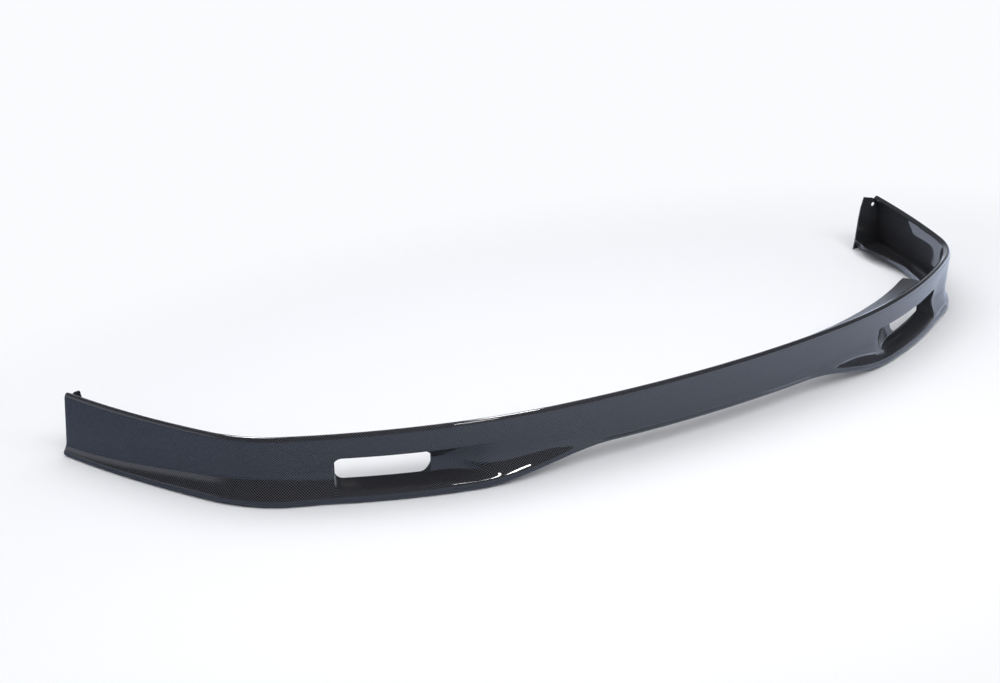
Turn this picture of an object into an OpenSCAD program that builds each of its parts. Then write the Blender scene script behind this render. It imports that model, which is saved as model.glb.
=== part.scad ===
// Front splitter lip: one moulded carbon fibre shell that wraps round the lower edge of a front
// bumper, with a mounting flange on top, a scooped duct near each corner and closed wing ends.
// The origin is on the ground, on the centre line, half way between front and back.
// +X runs to one side of the car, +Y to its rear and +Z up.

/* [Plan curve] */
// Half length of the flattest arc, at the middle of the front
front_run = 273; // [240:1:300]
// Radius of the front arc
front_radius = 1970; // [1700:10:2400]
// Length of the arc between the front and the corner
side_run = 398; // [370:1:430]
// Radius of that arc
side_radius = 898; // [820:2:1000]
// Length of the arc round the corner
corner_run = 118.5; // [100:0.5:140]
// Radius of the corner arc
corner_radius = 219.5; // [200:0.5:280]
// Length of the wing, from the corner to its end
wing_run = 280.5; // [240:0.5:320]
// Radius of the wing arc
wing_radius = 1778; // [1400:2:2600]

/* [Shell] */
// Thickness of the laminate
wall = 3; // [2:0.1:4]
// Height of the top ridge at the front
front_height = 111; // [100:1:125]
// Height of the top ridge at the wing ends
end_height = 100; // [92:1:112]
// How far the bevel under the ridge stands out
bevel_out = 3; // [2:0.5:6]
// Height of that bevel
bevel_drop = 7; // [6:0.5:12]
// Rounding of the ridge, measured along each side of it
ridge_round = 5; // [4:0.5:7]
// How far in from the ridge the flat underside ends, along the front and the corners
floor_in = 21; // [18:1:26]
// The same at the wing ends
end_floor_in = 44; // [30:1:46]
// How far in from the ridge the raised edge of the underside lies, along the front and the corners
lip_in = 28; // [26:1:36]
// The same along the wings
wing_lip_in = 58; // [44:1:60]
// The same at the wing ends
end_lip_in = 52; // [47:1:54]
// Height of that raised edge
lip_height = 20; // [16:1:24]

/* [Top flange] */
// Width of the mounting flange, measured level
flange_width = 70; // [56:1:80]
// Slope of the flange, down towards the back
flange_slope = 31; // [24:1:34]
// Where the flange ends, measured along the ridge from the middle
flange_end = 645; // [620:1:650]
// Where the slanted end of the flange leaves the ridge
flange_root = 530; // [505:1:550]
// Width of the narrow rim that runs on round the corner and the wing
rim_width = 9; // [8:0.5:12]
// Distance of the flange screw holes from the ridge, measured level
screw_inset = 46; // [30:1:50]
// Places of the inner screw holes, measured along the ridge from the middle
inner_screw = 150; // [100:5:200]
// Places of the outer screw holes
outer_screw = 446; // [400:2:480]
// Diameter of the flange screw holes
screw_hole = 6; // [4:0.5:8]

/* [Section at the front] */
// How far the lower edge stands out from the ridge
front_foot_out = -9; // [-14:0.5:-4]
// Height of the lower edge above the ground
front_lift = 33; // [20:0.5:36]

/* [Section at the ducts] */
// How far the hollow of the face stands out from the ridge
duct_waist_out = -9; // [-13:0.5:-5]
// Height of the hollow
duct_waist_z = 47; // [42:0.5:50]
// How far the top of the nose stands out
duct_nose_out = 0; // [-3:0.5:3]
// Height of the top of the nose
duct_nose_z = 15; // [13:0.5:18]
// How far the foot of the nose stands out
duct_foot_out = -9; // [-12:0.5:-6]

/* [Section at the corners] */
// How far the hollow of the face stands out from the ridge
corner_waist_out = -6; // [-9:0.5:-3]
// Height of the hollow
corner_waist_z = 46; // [42:0.5:50]
// How far the top of the nose stands out
corner_nose_out = 7; // [4:0.5:10]
// Height of the top of the nose
corner_nose_z = 15; // [13:0.5:18]
// How far the foot of the nose stands out
corner_foot_out = -1; // [-4:0.5:1]

/* [Section at the wing ends] */
// How far the hollow of the face stands out from the ridge
end_waist_out = 7; // [4:0.5:9]
// Height of the hollow
end_waist_z = 24; // [21:0.5:30]
// How far the top of the nose stands out
end_nose_out = 12; // [10:0.5:16]
// Height of the top of the nose
end_nose_z = 9; // [8:0.5:11]
// How far the foot of the nose stands out
end_foot_out = 7; // [4:0.5:8]

/* [Nose] */
// Where the nose starts to grow out of the face
nose_start = 190; // [170:5:220]
// Where the face above the nose has its full flare
flare_full = 350; // [330:5:400]
// Where the nose has its full size
nose_full = 410; // [390:5:440]
// Where the corner has its own section
corner_at = 700; // [680:5:740]

/* [Duct] */
// Where the scoop starts, measured along the ridge
scoop_start = 352; // [340:1:370]
// Where the scoop has its full depth
scoop_full = 456; // [440:1:462]
// Depth of the duct behind the face
duct_depth = 24; // [20:0.5:28]
// Where the rear opening of the duct starts
duct_start = 466; // [462:1:480]
// Outer end of the duct
duct_end = 606; // [590:1:612]
// Height of the sharp upper edge of the duct
duct_top = 69; // [64:0.5:74]
// Height of the duct floor at its back wall
duct_bottom = 27; // [25:0.5:30]
// Height of the duct's sill above the top of the nose
sill_rise = 5; // [3:0.5:6]
// Rounding of the outer corners of the duct
duct_corner = 10; // [6:0.5:12]
// Rounding of the lower inner corner of the rear opening
opening_round = 18; // [12:0.5:18]

/* [End panels] */
// Width of an end panel along its upper edge
panel_top = 27; // [22:1:34]
// Width of an end panel half way down
panel_middle = 46; // [42:1:50]
// Width of an end panel along the ground
panel_foot = 56; // [55:1:62]
// Diameter of the fixing hole in an end panel
panel_hole = 8; // [5:0.5:10]
// Distance of that hole from the ridge
panel_hole_inset = 11; // [10:0.5:14]
// Height of that hole
panel_hole_z = 84; // [78:0.5:86]

/* [Hidden] */
runs = [front_run, side_run, corner_run, wing_run];
radii = [front_radius, side_radius, corner_radius, wing_radius];
half_length = front_run + side_run + corner_run + wing_run;
corner_start = front_run + side_run;
wing_start = corner_start + corner_run;
// Where the underside starts to widen behind a corner, where it is widest, and the run left for its end
lip_widens = 860;
lip_widest = 1000;
end_run = 60;
// Length over which the end of a wing turns square to the car
squaring_run = 120;
// How far the sides of the ridge would meet above its rounding
tip_rise = 1;
// Height of the nose, and of the bend above it, at the middle of the front
front_step = 10;
// How late the flare of the face turns out on its way down
flare_power = 1.8;
// Shares of the nose's height that set how round it is
nose_fullness = 0.6;
nose_lead = 0.7;
// The bend from the underside to its raised edge: its length, and its share of the slope
knee_length = 8;
knee_share = 0.4;
// Length over which the flange narrows to the rim, before its slanted end is cut
flange_step = 6;
// Share of the duct's depth at each row of the face, from the bevel down to the nose
set_back = [0, 0, 0, 1, 1, 1, 1, 0.4, 0.06, 0];
// The row that follows the edge of the duct's roof
roof_row = 2;
// Least height of the floor and the sill above the nose, beyond the scoop
floor_start = 4;
sill_start = 1;
// The scoop's floor grows from before its start to this far past it
scoop_lead = 50;
scoop_growth = 80;
sill_delay = 28;
// How far down the sill of the inner skin lies, as a share of the outer one's height
inner_sill = 0.4;
// A step between two rows of points where the wall turns sharply
crease = 0.6;
// Step to the inner face of an end panel, and how much its free edge leans at the ground
panel_step = 0.02;
panel_lean = 0.2;
// Last points of a section that form the raised edge of the underside
lip_points = 5;
// Rear openings: gap to the sides of the duct, and how far ahead of the back wall the cut starts
opening_gap = 1;
opening_reach = 6;
corner_steps = 6;
// Cuts at the end of the flange: clearance to the duct, and overlap of the two cuts
cut_clear = 2;
cut_overlap = 0.01;
cut_steps = 6;
cut_over = 40;
carbon = [0.16, 0.17, 0.19];

// Smooth growth from 0 to 1 between two places
function ease(v, low, high) =
    let (t = min(1, max(0, (v - low) / (high - low)))) t * t * (3 - 2 * t);
function mix(a, b, t) = a + (b - a) * t;
function spread(a, b, count) = [for (i = [0:count - 1]) mix(a, b, i / count)];

// Place and heading after the arcs from number i on, starting from a place and heading
function follow(s, i = 0, x = 0, y = 0, a = 0) =
    let (
        run = i == len(runs) - 1 ? s : min(s, runs[i]),
        turn = run / radii[i] * 180 / PI,
        nx = x + radii[i] * (sin(a + turn) - sin(a)),
        ny = y + radii[i] * (cos(a) - cos(a + turn))
    )
    s <= runs[i] || i == len(runs) - 1 ? [nx, ny, a + turn]
        : follow(s - run, i + 1, nx, ny, a + turn);
// The origin is half way between the bevel at the front and the wing ends
mid_y = (follow(half_length)[1] - bevel_out) / 2;
// Plan place of the ridge at a distance s from the middle, negative on the other side
function ridge(s) =
    let (p = follow(abs(s))) [sign(s) * p[0], p[1] - mid_y, sign(s) * p[2]];

// A size that changes along the lip, from its values at the front, duct, corner and end
function along(s, front, duct, corner, end, full = nose_full) =
    front + (duct - front) * ease(s, nose_start, full)
        + (corner - duct) * ease(s, duct_end, corner_at)
        + (end - corner) * ease(s, corner_at, half_length);

// Place of the holes in the end panels
panel_hole_x = follow(half_length)[0] - panel_hole_inset;
panel_y = follow(half_length)[1] - mid_y;

function top_z(s) = mix(front_height, end_height, ease(s, nose_full, half_length));
face_slope = (bevel_out - front_foot_out) / (front_height - bevel_drop - front_lift);
function front_face(z) = bevel_out - (front_height - bevel_drop - z) * face_slope;
front_nose_z = front_lift + front_step;
front_waist_z = front_nose_z + front_step;
function waist_z(s) = along(s, front_waist_z, duct_waist_z, corner_waist_z, end_waist_z);
function waist_out(s) =
    along(s, front_face(front_waist_z), duct_waist_out, corner_waist_out, end_waist_out, flare_full);
function nose_z(s) = along(s, front_nose_z, duct_nose_z, corner_nose_z, end_nose_z);
function nose_out(s) =
    along(s, front_face(front_nose_z), duct_nose_out, corner_nose_out, end_nose_out, flare_full);
function foot_z(s) = along(s, front_lift, 0, 0, 0);
function foot_out(s) = along(s, front_foot_out, duct_foot_out, corner_foot_out, end_foot_out);
function flange(s) = mix(flange_width, rim_width, ease(s, flange_end, flange_end + flange_step));

// Outer face of the shell at height z: straight down to the waist, then flaring to the nose
function face(s, z) =
    let (
        zf = top_z(s) - bevel_drop,
        zw = waist_z(s),
        t = (zw - z) / (zw - nose_z(s))
    )
    z >= zw ? mix(waist_out(s), bevel_out, (z - zw) / (zf - zw))
        : waist_out(s) + (nose_out(s) - waist_out(s)) * pow(t, flare_power);
// Level distance that gives the wall its thickness on a leaning face
function lean(s, z) = sqrt(1 + pow((face(s, z + 1) - face(s, z - 1)) / 2, 2));

// Depth of the duct behind the face, for the outer skin or, with grow, the back of its wall
function scoop(s, grow) =
    s > duct_end + grow ? 0 : duct_depth * ease(s, scoop_start, scoop_full);
// How much a round outer corner takes off the height of the duct
function corner_cut(s) =
    let (u = min(duct_corner, max(0, s - duct_end + duct_corner)))
    duct_corner - sqrt(duct_corner * duct_corner - u * u);
// Height of the roof of the duct, for the outer skin or, with grow, the back of its wall
function duct_roof(s, grow = 0) = duct_top + grow - corner_cut(s - grow);
// Height of the floor where it meets the back wall; before the scoop it closes up on the nose
function duct_floor(s, grow = 0) =
    let (growth = ease(s, scoop_start - scoop_lead, scoop_start + scoop_growth))
    nose_z(s) + corner_cut(s - grow) - grow + mix(floor_start, duct_bottom - duct_nose_z, growth);
// Height of the sill, the outer edge of the sloping floor
function duct_sill(s, grow = 0) =
    let (growth = ease(s, scoop_start + sill_delay, duct_start))
    nose_z(s) + corner_cut(s - grow)
        + (grow > 0 ? inner_sill : 1) * mix(sill_start, sill_rise, growth);

// Heights of the rows of points on the face, from the bevel down to the nose
function face_rows(s, grow) =
    let (
        top = top_z(s) - bevel_drop,
        roof = duct_roof(s, grow),
        floor = duct_floor(s, grow),
        sill = duct_sill(s, grow),
        low = nose_z(s)
    )
    concat(
        [top, mix(top, roof, 0.5)],
        [for (i = [0:4]) mix(roof, floor, i / 4)],
        [mix(floor, sill, 0.6), sill, mix(sill, low, 0.5)]
    );
// Rows inside the duct are set back by their share of its depth; at the roof's edge a row is doubled
function face_points(s, inset) =
    let (rows = face_rows(s, inset), deep = scoop(s, inset))
    [for (i = [0:len(rows) - 1])
        let (z = rows[i], out = face(s, z) - inset * lean(s, z))
        each i == roof_row ? [[out, z], [out - deep, z - crease]]
            : [[out - deep * set_back[i], z]]];

function bend(a, b, c, t) = a * pow(1 - t, 2) + b * 2 * t * (1 - t) + c * t * t;
function curve(a, b, c, d, t) =
    a * pow(1 - t, 3) + b * 3 * t * pow(1 - t, 2) + c * 3 * t * t * (1 - t) + d * pow(t, 3);
function unit(v) = v / norm(v);
// Points of a line moved sideways by the wall, each along its own normal
function shifted(line, inset) =
    [for (i = [0:len(line) - 1])
        let (
            before = line[max(i - 1, 0)],
            after = line[min(i + 1, len(line) - 1)],
            way = unit(after - before)
        )
        line[i] + inset * [way[1], -way[0]]];

// Flange edge, ridge and bevel
function top_points(s, inset) =
    let (
        z = top_z(s),
        w = flange(s),
        tip = [0, z + tip_rise],
        edge = [-w, tip[1] - w * tan(flange_slope)],
        heel = [bevel_out, z - bevel_drop],
        near = tip + unit(edge - tip) * ridge_round,
        far = tip + unit(heel - tip) * ridge_round,
        line = concat(
            [edge],
            [for (i = [0:4]) bend(near, tip, far, i / 4)],
            [heel]
        ),
        moved = shifted(line, inset)
    )
    [for (i = [0:len(moved) - 2]) moved[i]];

// Insets of the end of the flat underside and of its raised edge
function underside_in(s) = mix(floor_in, end_floor_in, ease(s, half_length - 1.5 * end_run, half_length));
function raised_edge_in(s) =
    mix(lip_in, wing_lip_in, ease(s, lip_widens, lip_widest))
        + (end_lip_in - wing_lip_in) * ease(s, half_length - end_run, half_length);
// Round nose, bottom flange and its upturned edge
function low_points(s, inset) =
    let (
        top = [nose_out(s), nose_z(s)],
        foot = [foot_out(s), foot_z(s)],
        way = unit([face(s, top[1] + 0.1) - face(s, top[1] + 1.1), -1]),
        reach = (top[1] - foot[1]) * nose_fullness,
        back = [-underside_in(s), foot[1]],
        edge = [-raised_edge_in(s), foot[1] + lip_height],
        line = concat(
            [for (i = [0:5])
                curve(top, top + way * reach * nose_lead, foot + [reach, 0], foot, i / 5)],
            [for (i = [0:3])
                bend(back + [knee_length, 0], back, mix(back, edge, knee_share), i / 3)],
            [edge]
        )
    )
    shifted(line, inset);

function section(s, inset) =
    concat(top_points(s, inset), face_points(s, inset), low_points(s, inset));
// At an end panel the outer skin runs on along the ground in place of the raised edge
function panel_skin(s) =
    let (skin = section(s, 0), kept = len(skin) - lip_points)
    [for (i = [0:len(skin) - 1])
        i < kept ? skin[i] : mix([-underside_in(s), 0], [-panel_foot, 0], (i - kept + 1) / lip_points)];
// Free edge of an end panel, with as many points as a section has
function panel_edge(s, count) =
    let (
        top = [-panel_top, top_z(s) - tip_rise],
        middle = [-panel_middle, top_z(s) / 2],
        foot = [-panel_foot + panel_lean, wall]
    )
    [for (i = [0:count - 1])
        let (t = 2 * i / (count - 1)) t < 1 ? mix(top, middle, t) : mix(middle, foot, t - 1)];

// A section point set up in space; near a wing end the sections turn square to the car
function placed(s, p) =
    let (
        r = ridge(s),
        a = r[2],
        skew = tan(abs(a)) == 0 ? 0 : ease(abs(s), half_length - squaring_run, half_length) / tan(abs(a)),
        back = -p[0] * sign(s) * skew
    )
    [r[0] + p[0] * sin(a) - back * cos(a), r[1] - p[0] * cos(a) - back * sin(a), p[1]];

half_stations = concat(
    spread(0, nose_start, 4),
    spread(nose_start, scoop_start, 5),
    spread(scoop_start, duct_start, 7),
    spread(duct_start, duct_end - duct_corner, 5),
    spread(duct_end - duct_corner, duct_end, 3),
    [duct_end, duct_end + crease, duct_end + wall, duct_end + wall + crease],
    spread(duct_end + 4 * wall, flange_end, 2),
    [flange_end, flange_end + flange_step],
    spread(corner_start, wing_start, 7),
    spread(wing_start, half_length - wall, 7),
    [half_length - wall, half_length - wall + panel_step, half_length]
);
stations = concat(
    [for (i = [len(half_stations) - 1:-1:1]) -half_stations[i]],
    half_stations
);

module shell() {
    rings = [for (s = stations)
        let (
            closed = abs(s) > half_length - wall,
            outer = closed ? panel_skin(abs(s)) : section(abs(s), 0),
            count = len(outer),
            inner = closed ? panel_edge(abs(s), count) : section(abs(s), wall)
        )
        concat(
            [for (p = outer) placed(s, p)],
            [for (i = [count - 1:-1:0]) placed(s, inner[i])]
        )];
    around = len(rings[0]);
    last = len(rings) - 1;
    half = around / 2;
    faces = concat(
        [for (j = [0:last - 1]) for (i = [0:around - 1])
            let (a = j * around + i, b = j * around + (i + 1) % around)
            each [[a, b, b + around], [a, b + around, a + around]]],
        [for (i = [0:half - 2]) [i, around - 1 - i, around - 2 - i, i + 1]],
        [for (i = [0:half - 2])
            let (e = last * around) [e + i + 1, e + around - 2 - i, e + around - 1 - i, e + i]]
    );
    polyhedron(points = [for (ring = rings) each ring], faces = faces, convexity = 12);
}

// A piece set up beside the ridge: +X along the lip, +Y inwards
module at_ridge(s) {
    r = ridge(s);
    translate([r[0], r[1], 0]) rotate(r[2]) children();
}

// Rear opening of a duct: a rounded window through its back wall
module rear_opening(side) {
    long = duct_end - duct_start - opening_gap;
    low = duct_bottom + opening_gap;
    high = duct_top - 3 * opening_gap;
    middle = (duct_start + duct_end - opening_gap) / 2;
    opening_corner = duct_corner / 2;
    corners = [
        [-long / 2, low, opening_round, 180],
        [long / 2, low, opening_corner, 270],
        [long / 2, high, opening_corner, 0],
        [-long / 2, high, opening_corner, 90]
    ];
    outline = [for (c = corners) for (i = [0:corner_steps])
        let (
            r = c[2],
            cx = c[0] - sign(c[0]) * r,
            cz = c[1] == low ? low + r : high - r,
            a = c[3] + 90 * i / corner_steps
        )
        [side * (cx + r * cos(a)), cz + r * sin(a)]];
    at_ridge(side * middle)
        translate([0, duct_depth - duct_waist_out - opening_reach, 0])
            rotate([90, 0, 0]) translate([0, 0, -cut_over / 2])
                linear_extrude(cut_over / 2) polygon(outline);
}

// Plan region between the rim and the slanted end of the flange, from one place to another
module flange_end_region(side, from, to) {
    function slant(s) = mix(rim_width, flange_width, (s - flange_root) / (flange_end - flange_root));
    function inside(s, inset) = let (p = placed(side * s, [-inset, 0])) [p[0], p[1]];
    polygon(concat(
        [for (i = [0:cut_steps]) inside(mix(from, to, i / cut_steps), rim_width)],
        [for (i = [cut_steps:-1:0])
            let (s = mix(from, to, i / cut_steps))
            inside(s, s > flange_end ? flange_width + cut_clear : slant(s) + cut_overlap)]
    ));
}
// Above the duct the cut stays clear of its roof; past the duct it goes all the way down
module flange_end_cut(side) {
    past_duct = duct_end + wall + 2 * cut_clear;
    translate([0, 0, duct_top + wall + cut_clear]) linear_extrude(front_height - duct_top)
        flange_end_region(side, flange_root, past_duct);
    translate([0, 0, duct_top - cut_over / 2]) linear_extrude(front_height)
        flange_end_region(side, past_duct - cut_overlap, flange_end + flange_step + cut_clear);
}

module screw_holes() {
    for (side = [-1, 1]) {
        for (s = [inner_screw, outer_screw])
            at_ridge(side * s)
                translate([0, screw_inset, top_z(s) + tip_rise - screw_inset * tan(flange_slope)])
                    rotate([-flange_slope, 0, 0])
                        cylinder(d = screw_hole, h = cut_over / 2, center = true, $fn = 48);
        translate([side * panel_hole_x, panel_y, panel_hole_z])
            rotate([90, 0, 0]) cylinder(d = panel_hole, h = cut_over, center = true, $fn = 48);
    }
}

module lip() {
    color(carbon) difference() {
        shell();
        for (side = [-1, 1]) {
            rear_opening(side);
            flange_end_cut(side);
        }
        screw_holes();
    }
}

lip();
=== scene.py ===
"""Front splitter lip in carbon fibre, with its weave and lacquer, lit as in a studio."""
import math

import bmesh
import bpy
from mathutils import Matrix, Vector


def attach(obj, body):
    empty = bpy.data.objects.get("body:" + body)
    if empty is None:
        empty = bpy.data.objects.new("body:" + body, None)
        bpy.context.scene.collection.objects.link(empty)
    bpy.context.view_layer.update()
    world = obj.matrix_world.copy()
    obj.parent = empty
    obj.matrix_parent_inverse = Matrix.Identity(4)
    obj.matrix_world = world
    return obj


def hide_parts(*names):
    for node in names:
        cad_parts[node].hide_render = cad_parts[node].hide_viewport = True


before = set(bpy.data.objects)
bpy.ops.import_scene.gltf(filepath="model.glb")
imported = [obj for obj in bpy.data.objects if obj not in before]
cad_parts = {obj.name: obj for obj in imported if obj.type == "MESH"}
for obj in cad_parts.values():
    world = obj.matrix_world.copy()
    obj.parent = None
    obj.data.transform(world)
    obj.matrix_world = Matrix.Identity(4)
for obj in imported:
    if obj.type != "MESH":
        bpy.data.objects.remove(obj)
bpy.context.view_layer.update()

MM = 0.001

# Plan curve of the ridge: arcs from the middle to a wing end, as length and radius in mm
FRONT = (273.0, 1970.0)
SIDE = (398.0, 898.0)
CORNER = (118.5, 219.5)
WING = (280.5, 1778.0)
ARCS = (FRONT, SIDE, CORNER, WING)
HALF_LENGTH = sum(run for run, radius in ARCS)
CORNER_START = FRONT[0] + SIDE[0]
WING_START = CORNER_START + CORNER[0]
SQUARING_RUN = 120.0

# Shell, in mm: its wall, then the ridge's height at the front and at the wing ends, and its tip
WALL = 3.0
FRONT_HEIGHT = 111.0
END_HEIGHT = 100.0
TIP_RISE = 0.9
RIDGE_ROUND = 5.0
SHARP_ANGLE = math.radians(40)

# Bevel below the ridge, in mm
BEVEL_OUT = 3.0
BEVEL_DROP = 7.0
BEVEL_ROUND = 2.5

# Underside, in mm: how far in its flat floor reaches, then how far in its raised edge lies and the
# places along the ridge where that changes, then the shape of the edge
FLOOR_IN = 21.0
END_FLOOR_IN = 44.0
LIP_IN = 28.0
WING_LIP_IN = 58.0
END_LIP_IN = 52.0
LIP_WIDENS = 860.0
LIP_WIDEST = 1000.0
END_RUN = 60.0
LIP_HEIGHT = 20.0
LIP_BEND = 8.0
LIP_KNEE = 0.4
LIP_WANDER = 0.4

# Top flange, in mm: a wide tongue beside a narrow rim, where the tongue's end runs out in a slant
FLANGE_WIDTH = 70.0
FLANGE_SLOPE = math.radians(31)
FLANGE_ROOT = 530.0
FLANGE_END = 645.0
RIM_WIDTH = 9.0
FLANGE_WANDER = 0.25

# Rows of the tongue, in mm: its outer row nears the rim before the slant and then follows it
RIM_GAP = 5.0
RIM_GAP_RUN = 40.0
SLANT_GAP = 0.3
SLANT_LEFT = 3.0
SETTLE_RUN = 30.0

# Screw holes in the tongue, in mm
SCREWS_AT = (150.0, 446.0)
SCREW_INSET = 46.0
SCREW_RADIUS = 3.0
HOLE_PATCH = 8.0
HOLE_SIDES = 32

# Wander of edges that were trimmed by hand: share, turn in radians per mm and start of each wave
WANDER = ((1.0, 0.083, 0.0), (0.6, 0.211, 1.3), (0.4, 0.53, 0.0))

# Places along the ridge, in mm, where the face changes
NOSE_START = 190.0
FLARE_FULL = 350.0
NOSE_FULL = 410.0
DUCT_END = 609.0
CORNER_AT = 700.0

# Face, in mm: how far out and how high the waist, the top of the nose and its foot lie at the
# ducts, the corners and the wing ends; the front is given by its foot, its lift and its steps
FRONT_FOOT_OUT = -9.0
FRONT_LIFT = 33.0
FRONT_STEP = 10.0
WAIST_OUT = (-9.0, -6.0, 7.0)
WAIST_Z = (47.0, 46.0, 24.0)
NOSE_OUT = (0.0, 7.0, 12.0)
NOSE_Z = (15.0, 15.0, 9.0)
FOOT_OUT = (-9.0, -1.0, 7.0)
FLARE_POWER = 1.8
NOSE_FULLNESS = 0.6
NOSE_LEAD = 0.7

# How much less the right corner flares, in mm
RIGHT_WAIST_FULLER = 4.0
RIGHT_NOSE_LESS = 3.0

# Ducts, in mm: places along the ridge, then depth and heights of the scoop
SCOOP_START = 352.0
SCOOP_FULL = 456.0
SCOOP_LEAD = 50.0
SCOOP_GROWTH = 80.0
SILL_DELAY = 28.0
DUCT_START = 466.0
DUCT_DEPTH = 24.0
LEAST_DEPTH = 1.0
FULL_SHAPE_DEPTH = 12.0
DUCT_TOP = 69.0
DUCT_BOTTOM = 27.0
FLOOR_START = 4.0
SILL_START = 1.0
SILL_RISE = 5.0
SILL_FOOT = 0.1
WALL_STEP = 0.02

# Roundings of the ducts, in mm: the mouth's outer corners, the roof's two edges (the inner one wide
# at first and then narrow), the floor's inner edge, the sill and the edge of the outer end
DUCT_CORNER = 14.0
EDGE_ROUND = 1.2
ROOF_ROUND = 14.0
INNER_ROUND = 2.0
FLOOR_ROUND = 1.2
SILL_ROUND = 5.0
OUTER_ROUND = 2.5

# Windows through the back walls of the ducts, in mm
WINDOW_START = DUCT_START
WINDOW_END = DUCT_END - INNER_ROUND
WINDOW_GAP = 0.2
OPENING_ROUND = 18.0
OPENING_CORNER = 5.0

# End panels, in mm: the inner edge of the left and the right one, as how far out and how high its
# corners lie
PANEL_EDGES = {-1: ((-56.0, 2.0), (-46.0, 50.0), (-23.0, 80.0), (-19.5, 97.5), (-13.0, 97.0)),
               1: ((-55.0, 2.0), (-51.0, 19.0), (-48.0, 42.0), (-44.0, 67.0), (-41.0, 81.0),
                   (-34.0, 102.0), (-14.0, 98.0))}
PANEL_HOLE_RADIUS = 4.0
PANEL_HOLE_INSET = 11.0
PANEL_HOLE_Z = 84.0
PANEL_FOOT_IN = 6.0
END_ROUND = 2.0

# Points of the section, counted from the flange's inner edge: the flange, the ridge's bend, the
# bevel's bend and the face as far as the duct, then the duct's roof, back wall and floor
SCREW_ROW = 2
TONGUE_ROW = 4
FLANGE_POINTS = 7
RIDGE_POINTS = 8
BEVEL_POINTS = 5
FACE_POINTS = 4
ROOF_SHARES = (0.33, 0.67)
FLOOR_SHARES = (0.25, 0.5, 0.75)
ROOF_BENDS = (5, 4)
FLOOR_BENDS = (5, 6)
WINDOW_ROWS = 5
RIDGE_ROW = FLANGE_POINTS + 3
WINDOW_TOP_ROW = (FLANGE_POINTS + RIDGE_POINTS + BEVEL_POINTS + FACE_POINTS
                  + sum(ROOF_BENDS) + len(ROOF_SHARES))
WINDOW_FOOT_ROW = WINDOW_TOP_ROW + WINDOW_ROWS
DUCT_FOOT_ROW = WINDOW_FOOT_ROW + sum(FLOOR_BENDS) + len(FLOOR_SHARES)
ROUND_A_POINT = ((-1, 0), (-1, 1), (0, 1), (1, 1), (1, 0), (1, -1), (0, -1), (-1, -1))
RIDGE_STEPS = 1200

# Cloth: the tows' size in mm, their two shades and how they shine along their fibres. Both tows
# are the same black fibre; the paler shade of the upright ones is painted sheen
TOW_WIDTH = 2.0
TOW_HEIGHT = 0.25
BUMP_STRENGTH = 0.6
DARK_TOW = (0.008, 0.008, 0.010, 1)
SHEEN_PAINTED_TOW = (0.048, 0.049, 0.056, 1)
TOW_GRAIN = 0.7
TOW_ROUGHNESS = 0.42
TOW_SHINE = 0.12
QUARTER_TURN = 0.25

# Lacquer: polished on the face, and thinner and duller on the flange
LACQUER_IOR = 1.65
LACQUER_ROUGHNESS = 0.03
RAW_GLOSS = 0.3
RAW_ROUGHNESS = 0.25

# Floor, in m: its shades as seen and in mirrored light, where each change starts and ends, and the
# reach of the shadow before plain white
FLOOR_SIZE = 40
FLOOR_SHADE = (0.90, 0.91, 0.94, 1)
FAR_FLOOR_SHADE = (0.96, 0.968, 0.99, 1)
MIRRORED_FLOOR_LEFT = (0.19, 0.25, 0.39, 1)
MIRRORED_FLOOR_RIGHT = (0.72, 0.80, 0.98, 1)
MIRRORED_FLOOR_RUN = (-1.0, 0.6)
GLOW_RUN = (0.6, 1.3)
GLOW_LIGHT = 1.2
SHADOW_SQUASH = (1.0, 1.5, 1.0)
SHADOW_REACH = (0.8, 1.5)

# Surroundings: sky that lights the lip, backdrop that is seen, and a back wall and ceiling that are
# mirrored; the wall's limits are parts of a direction of length 1
SKY_SHADE = (0.97, 0.98, 1.0, 1)
SKY_LIGHT = 0.38
BACKDROP_SHADE = (0.93, 0.94, 0.975, 1)
MIRRORED_SHADE = (0.82, 0.88, 1.0, 1)
BACK_WALL_ONSET = (-0.15, 0.25)
BACK_WALL_TOP = (0.35, 0.15)
BACK_WALL_LIGHT = 0.75
CEILING_LIGHT = 0.05

# Lamps: name, place, target and size in m, power in W, whether it lights surfaces and whether it is
# mirrored
LAMPS = (
    ("overhead_softbox", (0, 0.8, 2.6), (0, 0.8, 0), (4.0, 3.0), 42, True, False),
    ("front_softbox", (-0.4, -2.0, 2.2), (-0.1, 0, 0), (3.0, 1.5), 54, True, False),
    ("left_strip", (-0.79, 1.13, 2.4), (-0.6, 0.6, 0), (0.75, 0.5), 70, False, True),
    ("front_strip", (-0.35, -4.15, 2.4), (-0.35, -0.2, 0), (0.8, 0.2), 18, False, True),
    ("right_strip", (0.44, -0.25, 2.4), (0.3, -0.25, 0), (0.55, 0.4), 42, False, True))

# Camera, worked out from the photograph's outline: turn, height and roll, then sizes in mm; its
# target is measured from the ridge's middle
VIEW_TURN = math.radians(-33.61)
VIEW_RISE = math.radians(21.30)
VIEW_ROLL = math.radians(-1.08)
VIEW_DISTANCE = 3046.22
VIEW_TARGET = (-122.81, 403.08, 50.0)
FOCAL_PIXELS = 1876.16
PICTURE_WIDTH = 1000.0
SENSOR = 36.0


def ease(value, low, high):
    """Smooth growth from 0 to 1 between two places."""
    t = min(1.0, max(0.0, (value - low) / (high - low)))
    return t * t * (3 - 2 * t)


def mix(a, b, t):
    """Value at a share t of the way from a to b."""
    return a + (b - a) * t


def part_way(a, b, t):
    """Point at a share t of the way from a to b."""
    return tuple(mix(p, q, t) for p, q in zip(a, b))


def spread(a, b, count):
    """Even steps from a up to, but not with, b."""
    return [mix(a, b, i / count) for i in range(count)]


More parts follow.
